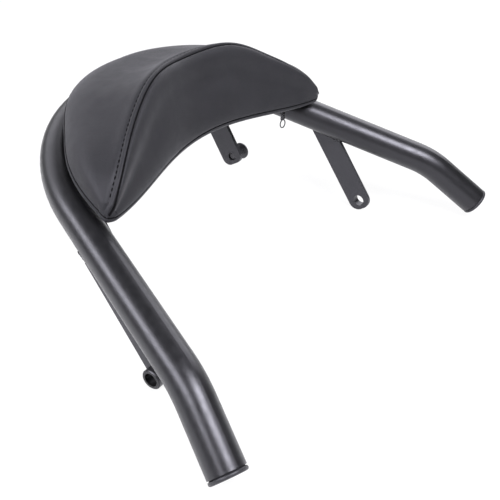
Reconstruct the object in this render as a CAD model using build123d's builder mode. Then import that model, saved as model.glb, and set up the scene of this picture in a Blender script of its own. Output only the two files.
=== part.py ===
from build123d import *
import os
from math import acos, cos, exp, radians, sin, sqrt, tan

# Sissy bar: a bent tube bow with four welded straps and a half-moon pad on top.
# Millimetres, +Z up, +Y to the rear, +X to the right as seen from the front.
# The origin is the middle of the axis through the two front holes.

# Tube: a bow at the rear, two straight legs, and a downward bend near each front end
tube_diameter = 30.0
tube_wall = 2.5
bow_radius = 157.0
bow_half_angle = 70.3
leg_length = 164.0
end_bend_radius = 85.0
end_bend_angle = 20.7
end_length = 51.0
bow_slope = 19.1

# Plugs in the tube's ends
plug_flange = 3.0
plug_edge_round = 1.4
plug_depth = 14.0
plug_wall = 2.0
plug_fit = 0.1

# Straps welded under the tube
tab_width = 25.0
tab_thickness = 4.0
tab_setback = 4.0
weld_fit = 0.05
front_tab_past_leg = 6.2
front_tab_angle = 36.5
front_hole_forward = 232.4
front_hole_drop = 64.6
front_hole_diameter = 12.0
front_tab_end = 10.2
rear_tab_past_bow = 5.43
rear_tab_angle = 40.0
rear_hole_forward = 101.6
rear_hole_drop = 59.3
rear_hole_chamfer = 0.7
rear_tab_end = 8.2

# Bushes on the outer faces of the front straps, longer on the left
bush_diameter = 18.0
bush_length_left = 10.5
bush_length_right = 5.0
bush_chamfer = 0.8

# Flanged button-head bolts started in the rear straps
bolt_diameter = 8.0
bolt_length = 16.0
bolt_stand_off = 14.0
bolt_end_chamfer = 1.0
bolt_fit = 0.05
bolt_flange_diameter = 17.9
bolt_flange_thickness = 1.4
bolt_dome_diameter = 14.0
bolt_dome_height = 3.0
bolt_dome_round = 2.6
bolt_socket = 5.0
bolt_socket_depth = 2.4

# Lugs on top of the bow that carry the pad
lug_thickness = 6.0
lug_width = 30.0
lug_reach = 30.0
lug_overhang = 5.0
lug_angle = 50.0

# Screws through the lugs, and threaded inserts for them in the board
screw_diameter = 6.0
screw_length = 12.0
screw_head_diameter = 10.5
screw_head_height = 3.3
screw_head_chamfer = 1.2
screw_clearance = 0.4
thread_fit = 0.05
insert_diameter = 9.0

# Pad: plan outline, side band and stitched ridge
pad_overhang = 0.8
pad_half_angle = 86.6
pad_front_middle = 118.0
pad_tip_round = 6.0
pad_seat_gap = 0.1
band_height = 6.2
band_round = 3.5
cover_thickness = 1.2
cover_seam_gap = 0.3
foam_gap = 0.3
board_fit = 0.15
ridge_height = 58.6
ridge_tip_height = 3.0
ridge_dip = 5.0
ridge_dip_share = 0.2
ridge_share_middle = 0.343
ridge_share_tip = 0.258
ridge_fall_power = 2.3
rear_crest_share = 0.08
rear_crest_ratio_middle = 0.12
rear_crest_ratio_tip = -0.04
rear_high_ratio_middle = -0.12
rear_high_ratio_tip = 0.60
rear_low_ratio_middle = 0.25
rear_low_ratio_tip = 0.98
rear_bulge_power = 4
front_foot_share = 0.25
front_foot_ratio = 0.10
front_hollow_share = 0.5
front_hollow_ratio = 0.05
front_shoulder_share = 0.8
front_shoulder_ratio = 0.12
pad_end_share = 0.97
pad_past_tip_share = 1.05
pad_sections_each_side = 5

# Zip along the front of the pad's underside
zip_inset = 7.2
zip_tape_width = 7.2
zip_tape_thickness = 0.6
zip_chain_width = 4.4
zip_chain_height = 1.6
zip_end_share = 0.80
zip_slider_share = 0.72
slider_length = 10.0
slider_wall = 1.0
slider_floor = 1.2
slider_gap = 0.3
bridge_width = 2.6
bridge_bar = 1.0
bridge_tunnel_length = 3.2
bridge_tunnel_height = 4.6
pull_width = 6.6
pull_length = 18.0
pull_thickness = 1.5
pull_pin_diameter = 1.6
pull_pin_rise = 1.6
pull_window_width = 4.4
pull_window_length = 4.4
pull_eye_width = 4.2
pull_eye_length = 8.6
pull_rim = 1.2

os.makedirs("parts", exist_ok=True)

tube_radius = tube_diameter / 2
tube_bore_radius = tube_radius - tube_wall
front_hole_radius = front_hole_diameter / 2

# The bow's own plane: u to the right, v to the rear up the slope, w square to it,
# measured from the centre of the bow's arc
slope = radians(bow_slope)
front_hole_v = bow_radius - front_hole_forward
rear_hole_v = bow_radius - rear_hole_forward
bow_plane = Plane(
    origin=(
        0,
        -front_hole_v * cos(slope) - front_hole_drop * sin(slope),
        -front_hole_v * sin(slope) + front_hole_drop * cos(slope),
    ),
    x_dir=(1, 0, 0),
    z_dir=(0, -sin(slope), cos(slope)),
)


def in_bow(u, v, w=0.0):
    """The point of the whole part at u, v, w in the bow's plane."""
    return bow_plane.from_local_coords(Vector(u, v, w))


def along_bow(u, v, w=0.0):
    """The direction u, v, w of the bow's plane, in the whole part."""
    return in_bow(u, v, w) - bow_plane.origin


# Centre line of the tube's right half, from the bow to the front end
half_angle = radians(bow_half_angle)
end_angle = radians(end_bend_angle)
arc_end = Vector(bow_radius * sin(half_angle), bow_radius * cos(half_angle))
leg_direction = Vector(cos(half_angle), -sin(half_angle))
leg_end = arc_end + leg_direction * leg_length


def past_leg(angle, further=0.0):
    """A point of the end bend after a turn by angle, or further along its tangent."""
    forward = end_bend_radius * sin(angle) + further * cos(angle)
    drop = end_bend_radius * (1 - cos(angle)) + further * sin(angle)
    return leg_end + leg_direction * forward - Vector(0, 0, drop)


def on_tube(point, side):
    """That point of the centre line on the right half, side 1, or the left half, side -1."""
    return in_bow(side * point.X, point.Y, point.Z)


bend_middle = past_leg(end_angle / 2)
bend_end = past_leg(end_angle)
tube_end = past_leg(end_angle, end_length)

# Bow tube
with BuildPart() as bow_tube:
    with BuildLine() as tube_line:
        Line(on_tube(tube_end, -1), on_tube(bend_end, -1))
        ThreePointArc(on_tube(bend_end, -1), on_tube(bend_middle, -1), on_tube(leg_end, -1))
        Line(on_tube(leg_end, -1), on_tube(arc_end, -1))
        ThreePointArc(on_tube(arc_end, -1), in_bow(0, bow_radius), on_tube(arc_end, 1))
        Line(on_tube(arc_end, 1), on_tube(leg_end, 1))
        ThreePointArc(on_tube(leg_end, 1), on_tube(bend_middle, 1), on_tube(bend_end, 1))
        Line(on_tube(bend_end, 1), on_tube(tube_end, 1))
    with BuildSketch(Plane(origin=tube_line.line @ 0, z_dir=tube_line.line % 0)):
        Circle(tube_radius)
        Circle(tube_bore_radius, mode=Mode.SUBTRACT)
    sweep(path=tube_line.line)
bow_tube.part.label = "bow_tube"

# Room that the tube takes up, for coping the straps to it
with BuildPart() as tube_room:
    with BuildSketch(Plane(origin=tube_line.line @ 0, z_dir=tube_line.line % 0)):
        Circle(tube_radius + weld_fit)
    sweep(path=tube_line.line)

# End plugs: a rounded flange outside and a hollow spigot in the bore
plug_plane = Plane(origin=tube_line.line @ 1, z_dir=tube_line.line % 1)
with BuildPart() as end_plug_right:
    with BuildSketch(plug_plane):
        Circle(tube_radius)
    extrude(amount=plug_flange)
    fillet(end_plug_right.edges().sort_by(SortBy.DISTANCE, reverse=True)[0], plug_edge_round)
    with BuildSketch(plug_plane):
        Circle(tube_bore_radius - plug_fit)
        Circle(tube_bore_radius - plug_fit - plug_wall, mode=Mode.SUBTRACT)
    extrude(amount=-plug_depth)
end_plug_right.part.label = "end_plug_right"

with BuildPart() as end_plug_left:
    mirror(end_plug_right.part, about=Plane.YZ)
end_plug_left.part.label = "end_plug_left"

# Front straps: square end coped to the tube, round end about the hole; each starts under its leg
front_fall = radians(front_tab_angle)
front_weld_v = front_hole_v + front_hole_drop / tan(front_fall)
front_tab_x = arc_end.X + (arc_end.Y - front_weld_v) / tan(half_angle) + front_tab_past_leg
front_tab_plane = Plane(
    origin=(front_tab_x, 0, 0),
    x_dir=along_bow(0, -cos(front_fall), -sin(front_fall)),
    z_dir=(1, 0, 0),
)
with BuildPart() as front_tab_right:
    with BuildSketch(front_tab_plane) as front_strap:
        with Locations((front_tab_end, 0)):
            Rectangle(
                front_hole_drop / sin(front_fall) - tab_setback + front_tab_end,
                tab_width,
                align=(Align.MAX, Align.CENTER),
            )
        fillet(front_strap.vertices().group_by(Axis.X)[-1], front_tab_end)
        Circle(front_hole_radius, mode=Mode.SUBTRACT)
    extrude(amount=tab_thickness)
    add(tube_room.part, mode=Mode.SUBTRACT)
front_tab_right.part.label = "front_tab_right"

with BuildPart() as front_tab_left:
    mirror(front_tab_right.part, about=Plane.YZ)
front_tab_left.part.label = "front_tab_left"

# Bushes against the outer faces of the front straps
with BuildPart() as front_bush_right:
    with BuildSketch(front_tab_plane.offset(tab_thickness)):
        Circle(bush_diameter / 2)
        Circle(front_hole_radius, mode=Mode.SUBTRACT)
    extrude(amount=bush_length_right)
    right_rim = front_bush_right.edges().group_by(Axis.X)[-1].sort_by(SortBy.LENGTH)[-1]
    chamfer(right_rim, bush_chamfer)
front_bush_right.part.label = "front_bush_right"

with BuildPart() as front_bush_left:
    with BuildSketch(Plane.YZ.offset(-front_tab_x - tab_thickness)):
        Circle(bush_diameter / 2)
        Circle(front_hole_radius, mode=Mode.SUBTRACT)
    extrude(amount=-bush_length_left)
    left_rim = front_bush_left.edges().group_by(Axis.X)[0].sort_by(SortBy.LENGTH)[-1]
    chamfer(left_rim, bush_chamfer)
front_bush_left.part.label = "front_bush_left"

# Rear straps, with a chamfered tapped hole; each starts under the bow
rear_fall = radians(rear_tab_angle)
rear_weld_v = rear_hole_v + rear_hole_drop / tan(rear_fall)
rear_tab_x = sqrt(bow_radius**2 - rear_weld_v**2) + rear_tab_past_bow
rear_tab_plane = Plane(
    origin=in_bow(rear_tab_x, rear_hole_v, -rear_hole_drop),
    x_dir=along_bow(0, -cos(rear_fall), -sin(rear_fall)),
    z_dir=(1, 0, 0),
)
with BuildPart() as rear_tab_right:
    with BuildSketch(rear_tab_plane) as rear_strap:
        with Locations((rear_tab_end, 0)):
            Rectangle(
                rear_hole_drop / sin(rear_fall) - tab_setback + rear_tab_end,
                tab_width,
                align=(Align.MAX, Align.CENTER),
            )
        fillet(rear_strap.vertices().group_by(Axis.X)[-1], rear_tab_end)
        Circle(bolt_diameter / 2 + bolt_fit, mode=Mode.SUBTRACT)
    extrude(amount=tab_thickness)
    add(tube_room.part, mode=Mode.SUBTRACT)
    hole_rims = rear_tab_right.edges().filter_by(GeomType.CIRCLE).sort_by(SortBy.RADIUS)[0:2]
    chamfer(hole_rims, rear_hole_chamfer)
rear_tab_right.part.label = "rear_tab_right"

with BuildPart() as rear_tab_left:
    mirror(rear_tab_right.part, about=Plane.YZ)
rear_tab_left.part.label = "rear_tab_left"

# Bolts: shank in the strap's hole, flange and domed head with a socket outwards
bolt_plane = rear_tab_plane.offset(tab_thickness + bolt_stand_off)
with BuildPart() as rear_bolt_right:
    with BuildSketch(bolt_plane):
        Circle(bolt_dome_diameter / 2)
    extrude(amount=bolt_flange_thickness + bolt_dome_height)
    fillet(rear_bolt_right.edges().group_by(Axis.X)[-1], bolt_dome_round)
    with BuildSketch(bolt_plane):
        Circle(bolt_flange_diameter / 2)
    extrude(amount=bolt_flange_thickness)
    with BuildSketch(bolt_plane):
        Circle(bolt_diameter / 2)
    extrude(amount=-bolt_length)
    chamfer(rear_bolt_right.edges().group_by(Axis.X)[0], bolt_end_chamfer)
    with BuildSketch(bolt_plane.offset(bolt_flange_thickness + bolt_dome_height)):
        RegularPolygon(bolt_socket / 2, 6, major_radius=False)
    extrude(amount=-bolt_socket_depth, mode=Mode.SUBTRACT)
rear_bolt_right.part.label = "rear_bolt_right"

with BuildPart() as rear_bolt_left:
    mirror(rear_bolt_right.part, about=Plane.YZ)
rear_bolt_left.part.label = "rear_bolt_left"

# Lugs: flat strips lying on the tube's top and reaching inwards under the pad
lug_base = tube_radius + weld_fit
lug_hole_radius = bow_radius - lug_reach
screw_hole_radius = screw_diameter / 2 + screw_clearance
with BuildPart() as pad_lug_centre:
    with BuildSketch(bow_plane.offset(lug_base)):
        with Locations((0, lug_hole_radius)):
            Circle(lug_width / 2)
            Rectangle(lug_width, lug_reach + lug_overhang, align=(Align.CENTER, Align.MIN))
            Circle(screw_hole_radius, mode=Mode.SUBTRACT)
    extrude(amount=lug_thickness)
pad_lug_centre.part.label = "pad_lug_centre"

lug_turn_axis = Axis(bow_plane.origin, bow_plane.z_dir)
with BuildPart() as pad_lug_right:
    add(pad_lug_centre.part.rotate(lug_turn_axis, -lug_angle))
pad_lug_right.part.label = "pad_lug_right"

with BuildPart() as pad_lug_left:
    add(pad_lug_centre.part.rotate(lug_turn_axis, lug_angle))
pad_lug_left.part.label = "pad_lug_left"

# Heights of the pad's layers above the bow's plane
pad_bottom = lug_base + lug_thickness + pad_seat_gap
seam_level = pad_bottom + band_height
board_bottom = pad_bottom + cover_thickness + board_fit

# Screws up through the lugs
lug_turns = [radians(turn) for turn in (-lug_angle, 0, lug_angle)]
screw_places = Locations(
    *[(lug_hole_radius * sin(turn), lug_hole_radius * cos(turn)) for turn in lug_turns]
)
with BuildPart() as pad_screws:
    with BuildSketch(bow_plane.offset(lug_base)):
        with screw_places:
            Circle(screw_diameter / 2)
    extrude(amount=screw_length)
    with BuildSketch(bow_plane.offset(lug_base)):
        with screw_places:
            Circle(screw_head_diameter / 2)
    extrude(amount=-screw_head_height)
    head_rims = pad_screws.edges().filter_by(GeomType.CIRCLE).group_by(lug_turn_axis)[0]
    chamfer(head_rims, screw_head_chamfer)
pad_screws.part.label = "pad_screws"

# Pad outline: the rear edge runs round the bow, the front edge sweeps back to its middle
pad_edge_radius = bow_radius + pad_overhang
pad_angle = radians(pad_half_angle)
pad_tip_u = pad_edge_radius * sin(pad_angle)
pad_tip_v = pad_edge_radius * cos(pad_angle)
pad_middle_v = bow_radius - pad_front_middle
pad_sweep = pad_middle_v - pad_tip_v


def rear_edge(s):
    """Point of the pad's rear edge at station s, from -1 at the left tip to 1 at the right."""
    return Vector(pad_edge_radius * sin(pad_angle * s), pad_edge_radius * cos(pad_angle * s))


def front_edge(s, inset=0.0):
    """Point of the pad's front edge at station s, or of a line that far inside it."""
    edge = Vector(pad_tip_u * s, pad_tip_v + pad_sweep * (1 - s**2) ** 2)
    return edge + Vector(0, 0, 1).cross(front_tangent(s)) * inset


def front_tangent(s):
    """Direction of the pad's front edge at station s."""
    return Vector(pad_tip_u, -4 * pad_sweep * s * (1 - s**2)).normalized()


def stations(limit):
    """Stations from one side to the other, closer together near the tips."""
    count = pad_sections_each_side
    return [limit * sin(radians(90 * i / count)) for i in range(-count, count + 1)]


def pad_outline(inset):
    """The pad's plan outline, moved inwards by inset."""
    front = [front_edge(s, inset) for s in stations(pad_past_tip_share)]
    with BuildSketch() as outline:
        with BuildLine():
            Spline(front)
            Polyline(front[-1], front[-1] + (0, bow_radius), front[0] + (0, bow_radius), front[0])
        make_face()
        Circle(pad_edge_radius - inset, mode=Mode.INTERSECT)
        fillet(outline.vertices().group_by(Axis.Y)[0], pad_tip_round - inset)
    return outline.sketch


# Room inside the low side band
with BuildPart() as band_room:
    with BuildSketch(bow_plane.offset(pad_bottom + cover_thickness)):
        add(pad_outline(cover_thickness))
    extrude(amount=band_height)
    chamfer(band_room.faces().sort_by(lug_turn_axis)[0].edges(), band_round - cover_thickness)

# Bottom panel of the cover: a floor that rounds up into the band
with BuildPart() as cover_bottom_panel:
    with BuildSketch(bow_plane.offset(pad_bottom)):
        add(pad_outline(0))
    extrude(amount=band_height)
    fillet(cover_bottom_panel.faces().sort_by(lug_turn_axis)[0].edges(), band_round)
    add(band_room.part, mode=Mode.SUBTRACT)
    with BuildSketch(bow_plane.offset(pad_bottom)):
        with screw_places:
            Circle(screw_hole_radius)
    extrude(amount=cover_thickness, mode=Mode.SUBTRACT)
cover_bottom_panel.part.label = "cover_bottom_panel"

# Board that fills the band, with holes for the inserts
with BuildPart() as base_board:
    with BuildSketch(bow_plane.offset(board_bottom)):
        add(pad_outline(cover_thickness + board_fit))
    extrude(amount=seam_level - board_bottom)
    chamfer(base_board.faces().sort_by(lug_turn_axis)[0].edges(), band_round - cover_thickness)
    with BuildSketch(bow_plane.offset(board_bottom)):
        with screw_places:
            Circle(insert_diameter / 2 + board_fit)
    extrude(amount=seam_level - board_bottom, mode=Mode.SUBTRACT)
base_board.part.label = "base_board"

# Threaded inserts in the board
with BuildPart() as board_inserts:
    with BuildSketch(bow_plane.offset(board_bottom)):
        with screw_places:
            Circle(insert_diameter / 2)
            Circle(screw_diameter / 2 + thread_fit, mode=Mode.SUBTRACT)
    extrude(amount=seam_level - board_bottom)
board_inserts.part.label = "board_inserts"


def section_plane(s):
    """Plane across the pad at station s: x from the front edge to the rear edge, y up."""
    front = front_edge(s)
    across = rear_edge(s) - front
    return Plane(
        origin=in_bow(front.X, front.Y, seam_level),
        x_dir=along_bow(across.X, across.Y),
        z_dir=along_bow(across.X, across.Y).cross(bow_plane.z_dir),
    )


def blend(middle, tip, s, power=2):
    """A value that goes from the pad's middle to its tips with a power of the station."""
    return middle + (tip - middle) * abs(s) ** power


def section_corners(s, inset=0.0):
    """Front foot, ridge and rear foot of the pad's section, moved inwards by inset."""
    width = (rear_edge(s) - front_edge(s)).length
    dip = ridge_dip * exp(-((s / ridge_dip_share) ** 2))
    height = ridge_height * (1 - abs(s) ** ridge_fall_power) + ridge_tip_height - dip
    ridge = Vector(blend(ridge_share_middle, ridge_share_tip, s) * width, height)
    front_slope = ridge.normalized()
    rear_slope = (Vector(width, 0) - ridge).normalized()
    half_turn = acos(front_slope.dot(rear_slope)) / 2
    inward = (rear_slope - front_slope).normalized() * (inset / cos(half_turn))
    return (
        Vector(inset / front_slope.Y, 0),
        ridge + inward,
        Vector(width + inset / rear_slope.Y, 0),
    )


def front_face(foot, ridge):
    """Control points of the front face: full at the foot, hollow in the middle, a shoulder."""
    run = ridge - foot
    out = Vector(-run.Y, run.X)
    return (
        foot,
        foot + run * front_foot_share + out * front_foot_ratio,
        foot + run * front_hollow_share - out * front_hollow_ratio,
        foot + run * front_shoulder_share + out * front_shoulder_ratio,
        ridge,
    )


def rear_face(ridge, foot, s):
    """Control points of the rear face at station s: a rounded crest, a slope, full at the foot."""
    run = foot - ridge
    out = Vector(-run.Y, run.X)
    crest = blend(rear_crest_ratio_middle, rear_crest_ratio_tip, s)
    high = blend(rear_high_ratio_middle, rear_high_ratio_tip, s, rear_bulge_power)
    low = blend(rear_low_ratio_middle, rear_low_ratio_tip, s, rear_bulge_power)
    return (
        ridge,
        ridge + run * rear_crest_share + out * crest,
        ridge + run / 3 + out * high,
        ridge + run * 2 / 3 + out * low,
        foot,
    )


foam_inset = cover_thickness + foam_gap
foam_end_share = pad_end_share - 2 * foam_inset / pad_edge_radius
foam_lift = Vector(0, foam_gap)
seam_lift = Vector(0, cover_seam_gap)

# Foam core on the board
with BuildPart() as foam_core:
    for s in stations(foam_end_share):
        foot_front, crest, foot_rear = section_corners(s, foam_inset)
        with BuildSketch(section_plane(s)):
            with BuildLine():
                Bezier(*front_face(foot_front + foam_lift, crest))
                Bezier(*rear_face(crest, foot_rear + foam_lift, s))
                Line(foot_rear + foam_lift, foot_front + foam_lift)
            make_face()
    loft()
foam_core.part.label = "foam_core"

# Front panel of the cover, from the lower seam up to the ridge, closed at both tips
with BuildPart() as cover_front_panel:
    for s in stations(pad_end_share):
        foot_out, crest_out, _ = section_corners(s)
        foot_in, crest_in, _ = section_corners(s, cover_thickness)
        set_back = (foot_out - crest_out).normalized() * (cover_seam_gap / 2)
        with BuildSketch(section_plane(s)):
            with BuildLine():
                Bezier(*front_face(foot_out + seam_lift, crest_out + set_back))
                Line(crest_out + set_back, crest_in + set_back)
                Bezier(*reversed(front_face(foot_in + seam_lift, crest_in + set_back)))
                Line(foot_in + seam_lift, foot_out + seam_lift)
            make_face()
    loft()
    for side in (-1, 1):
        foot_out, crest_out, _ = section_corners(side * pad_end_share)
        set_back = (foot_out - crest_out).normalized() * cover_thickness
        cap_corner = Vector(crest_out.X - cover_thickness, cover_seam_gap)
        with BuildSketch(section_plane(side * pad_end_share)):
            with BuildLine():
                Bezier(*front_face(foot_out + seam_lift, crest_out + set_back))
                Polyline(crest_out + set_back, cap_corner, foot_out + seam_lift)
            make_face()
        extrude(amount=-side * cover_thickness)
cover_front_panel.part.label = "cover_front_panel"

# Rear panel of the cover, from the ridge down to the lower seam, closed at both tips
with BuildPart() as cover_rear_panel:
    for s in stations(pad_end_share):
        _, crest_out, foot_out = section_corners(s)
        _, crest_in, foot_in = section_corners(s, cover_thickness)
        set_back = (foot_out - crest_out).normalized() * (cover_seam_gap / 2)
        with BuildSketch(section_plane(s)):
            with BuildLine():
                Bezier(*rear_face(crest_out + set_back, foot_out + seam_lift, s))
                Line(foot_out + seam_lift, foot_in + seam_lift)
                Bezier(*reversed(rear_face(crest_in + set_back, foot_in + seam_lift, s)))
                Line(crest_in + set_back, crest_out + set_back)
            make_face()
    loft()
    for side in (-1, 1):
        _, crest_out, foot_out = section_corners(side * pad_end_share)
        set_back = (foot_out - crest_out).normalized() * cover_thickness
        cap_corner = Vector(crest_out.X + cover_thickness, cover_seam_gap)
        with BuildSketch(section_plane(side * pad_end_share)):
            with BuildLine():
                Bezier(*rear_face(crest_out + set_back, foot_out + seam_lift, side * pad_end_share))
                Polyline(foot_out + seam_lift, cap_corner, crest_out + set_back)
            make_face()
        extrude(amount=-side * cover_thickness)
cover_rear_panel.part.label = "cover_rear_panel"


def zip_strip(width):
    """Plan of a strip of the zip along the pad's front edge."""
    with BuildSketch() as strip:
        with BuildLine():
            near = [front_edge(s, zip_inset - width / 2) for s in stations(zip_end_share)]
            far = [front_edge(s, zip_inset + width / 2) for s in stations(zip_end_share)]
            Spline(near)
            Line(near[-1], far[-1])
            Spline(far)
            Line(far[0], near[0])
        make_face()
    return strip.sketch


# Zip tape under the floor, and the chain of teeth under the tape
with BuildPart() as zip_tape:
    with BuildSketch(bow_plane.offset(pad_bottom)):
        add(zip_strip(zip_tape_width))
    extrude(amount=-zip_tape_thickness)
zip_tape.part.label = "zip_tape"

with BuildPart() as zip_chain:
    with BuildSketch(bow_plane.offset(pad_bottom - zip_tape_thickness)):
        add(zip_strip(zip_chain_width))
    extrude(amount=-zip_chain_height)
zip_chain.part.label = "zip_chain"

# Zip slider: a trough round the chain, with a bridge below it for the pull
slider_spot = front_edge(zip_slider_share, zip_inset)
slider_along = front_tangent(zip_slider_share)
slider_top = pad_bottom - zip_tape_thickness - slider_gap
trough_bottom = pad_bottom - zip_tape_thickness - zip_chain_height - slider_gap
slider_plane = Plane(
    origin=in_bow(slider_spot.X, slider_spot.Y, trough_bottom),
    x_dir=along_bow(slider_along.X, slider_along.Y),
    z_dir=bow_plane.z_dir,
)
trough_width = zip_chain_width + 2 * slider_gap
with BuildPart() as zip_slider:
    with BuildSketch(slider_plane):
        RectangleRounded(slider_length, trough_width + 2 * slider_wall, slider_wall)
    extrude(amount=-slider_floor)
    with BuildSketch(slider_plane):
        RectangleRounded(slider_length, trough_width + 2 * slider_wall, slider_wall)
        Rectangle(slider_length, trough_width, mode=Mode.SUBTRACT)
    extrude(amount=slider_top - trough_bottom)
    with BuildSketch(slider_plane.offset(-slider_floor)):
        Rectangle(bridge_tunnel_length + 2 * bridge_bar, bridge_width)
    extrude(amount=-bridge_tunnel_height - bridge_bar)
    with BuildSketch(slider_plane.offset(-slider_floor)):
        Rectangle(bridge_tunnel_length, bridge_width)
    extrude(amount=-bridge_tunnel_height, mode=Mode.SUBTRACT)
zip_slider.part.label = "zip_slider"

# Zip pull: hangs straight down from a level cross pin in the slider's bridge
pin_depth = slider_floor + bridge_tunnel_height - pull_pin_rise
pull_facing = along_bow(slider_along.X, slider_along.Y)
pull_facing = Vector(pull_facing.X, pull_facing.Y, 0).normalized()
pull_across = Vector(0, 0, 1).cross(pull_facing)
bridge_lean = pull_pin_rise * sin(slope)
pull_plane = Plane(
    origin=in_bow(slider_spot.X, slider_spot.Y, trough_bottom - pin_depth) + pull_across * bridge_lean,
    x_dir=pull_across,
    z_dir=pull_facing,
)
pin_plane = Plane(
    origin=pull_plane.from_local_coords(Vector(-pull_width / 2, 0)),
    x_dir=pull_facing,
    z_dir=pull_plane.x_dir,
)
with BuildPart() as zip_pull:
    with BuildSketch(pull_plane):
        with Locations((0, -pull_length / 2)):
            RectangleRounded(pull_width, pull_length, pull_width / 3)
        with Locations((0, 0)):
            Rectangle(pull_width, pull_pin_diameter)
        with Locations((0, 0)):
            Rectangle(pull_window_width, 2 * pull_window_length, mode=Mode.SUBTRACT)
        with Locations((0, pull_rim + pull_eye_length / 2 - pull_length)):
            SlotOverall(pull_eye_length, pull_eye_width, rotation=90, mode=Mode.SUBTRACT)
    extrude(amount=pull_thickness / 2, both=True)
    with BuildSketch(pin_plane):
        Circle(pull_pin_diameter / 2)
    extrude(amount=pull_width)
zip_pull.part.label = "zip_pull"

export_step(bow_tube.part, "parts/bow_tube.step")
export_step(end_plug_left.part, "parts/end_plug_left.step")
export_step(end_plug_right.part, "parts/end_plug_right.step")
export_step(front_tab_left.part, "parts/front_tab_left.step")
export_step(front_tab_right.part, "parts/front_tab_right.step")
export_step(front_bush_left.part, "parts/front_bush_left.step")
export_step(front_bush_right.part, "parts/front_bush_right.step")
export_step(rear_tab_left.part, "parts/rear_tab_left.step")
export_step(rear_tab_right.part, "parts/rear_tab_right.step")
export_step(rear_bolt_left.part, "parts/rear_bolt_left.step")
export_step(rear_bolt_right.part, "parts/rear_bolt_right.step")
export_step(pad_lug_left.part, "parts/pad_lug_left.step")
export_step(pad_lug_centre.part, "parts/pad_lug_centre.step")
export_step(pad_lug_right.part, "parts/pad_lug_right.step")
export_step(pad_screws.part, "parts/pad_screws.step")
export_step(board_inserts.part, "parts/board_inserts.step")
export_step(base_board.part, "parts/base_board.step")
export_step(foam_core.part, "parts/foam_core.step")
export_step(cover_bottom_panel.part, "parts/cover_bottom_panel.step")
export_step(cover_front_panel.part, "parts/cover_front_panel.step")
export_step(cover_rear_panel.part, "parts/cover_rear_panel.step")
export_step(zip_tape.part, "parts/zip_tape.step")
export_step(zip_chain.part, "parts/zip_chain.step")
export_step(zip_slider.part, "parts/zip_slider.step")
export_step(zip_pull.part, "parts/zip_pull.step")
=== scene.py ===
import math

import bmesh
import bpy
import numpy as np
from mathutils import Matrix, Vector


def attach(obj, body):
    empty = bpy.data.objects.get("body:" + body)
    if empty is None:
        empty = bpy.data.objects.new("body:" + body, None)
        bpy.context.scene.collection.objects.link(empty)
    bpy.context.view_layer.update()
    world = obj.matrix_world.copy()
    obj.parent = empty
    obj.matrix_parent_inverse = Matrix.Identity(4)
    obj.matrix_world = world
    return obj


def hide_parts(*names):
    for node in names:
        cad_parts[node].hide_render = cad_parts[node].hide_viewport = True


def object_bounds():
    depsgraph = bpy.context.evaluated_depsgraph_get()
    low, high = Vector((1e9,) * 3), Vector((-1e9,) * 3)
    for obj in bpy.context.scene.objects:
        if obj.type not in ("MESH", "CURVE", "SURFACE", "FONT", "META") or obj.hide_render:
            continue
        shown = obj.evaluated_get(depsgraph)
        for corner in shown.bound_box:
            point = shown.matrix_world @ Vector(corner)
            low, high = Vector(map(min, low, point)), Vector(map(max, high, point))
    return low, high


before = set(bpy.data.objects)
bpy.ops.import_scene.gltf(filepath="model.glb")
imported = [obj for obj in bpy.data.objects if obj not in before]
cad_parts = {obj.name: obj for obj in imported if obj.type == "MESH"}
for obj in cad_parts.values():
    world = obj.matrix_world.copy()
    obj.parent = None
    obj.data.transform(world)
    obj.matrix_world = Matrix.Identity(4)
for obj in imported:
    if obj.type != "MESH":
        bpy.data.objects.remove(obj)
cad_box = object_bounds()
BODY = "frame"
MM = 0.001
UP = np.array([0.0, 0.0, 1.0])
SIDES = ((-1, "left"), (1, "right"))

# The bow's plane, as in the CAD source, in millimetres: u across, v to the rear, w up from the tube's axis
TUBE_R = 15.0
BOW_R = 157.0
HALF = math.radians(70.3)
LEG = 164.0
SLOPE = math.radians(19.1)
COS, SIN = math.cos(SLOPE), math.sin(SLOPE)
FRONT_V = BOW_R - 232.4
FRONT_DROP = 64.6
FRONT_FALL = math.radians(36.5)
REAR_V = BOW_R - 101.6
REAR_DROP = 59.3
REAR_FALL = math.radians(40.0)
TAB_W, TAB_T = 25.0, 4.0
ORIGIN = np.array([0.0, -FRONT_V * COS - FRONT_DROP * SIN, -FRONT_V * SIN + FRONT_DROP * COS])
ARC_END = np.array([BOW_R * math.sin(HALF), BOW_R * math.cos(HALF)])
LEG_DIR = np.array([math.cos(HALF), -math.sin(HALF)])


def to_part(uvw):
    """Points u, v, w of the bow's plane, in millimetres, as points of the part in metres."""
    p = np.asarray(uvw, float)
    y = p[..., 1] * COS - p[..., 2] * SIN
    z = p[..., 1] * SIN + p[..., 2] * COS
    return (np.stack([p[..., 0], y, z], -1) + ORIGIN) * MM


def bow_height(co):
    """Height w in the bow's plane, in millimetres, of a point of the part in metres."""
    return (co.z / MM - ORIGIN[2]) * COS - (co.y / MM - ORIGIN[1]) * SIN


# Curves
def bell(x, at, width):
    """A bell-shaped curve of height 1."""
    return np.exp(-(((x - at) / width) ** 2))


def waves(x, shapes):
    """A sum of bells, each given by its height, place and width."""
    return sum(height * bell(x, at, width) for height, at, width in shapes)


def mix(middle, tip, s, power):
    """A value that goes from the pad's middle, s = 0, to its tips, s = 1 or -1."""
    return middle + (tip - middle) * abs(s) ** power


def ease(count, sharp=2.2):
    """count + 1 parameters from 0 to 1, closer together at both ends."""
    x = np.linspace(-1, 1, count + 1)
    return 0.5 + 0.5 * np.tanh(sharp * x) / math.tanh(sharp)


def bezier(controls, t):
    """Points of the Bezier curve with the given controls at the parameters t."""
    points = [np.asarray(c, float)[None, :] * np.ones((len(t), 1)) for c in controls]
    t = np.asarray(t)[:, None]
    while len(points) > 1:
        points = [a * (1 - t) + b * t for a, b in zip(points[:-1], points[1:])]
    return points[0]


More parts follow.
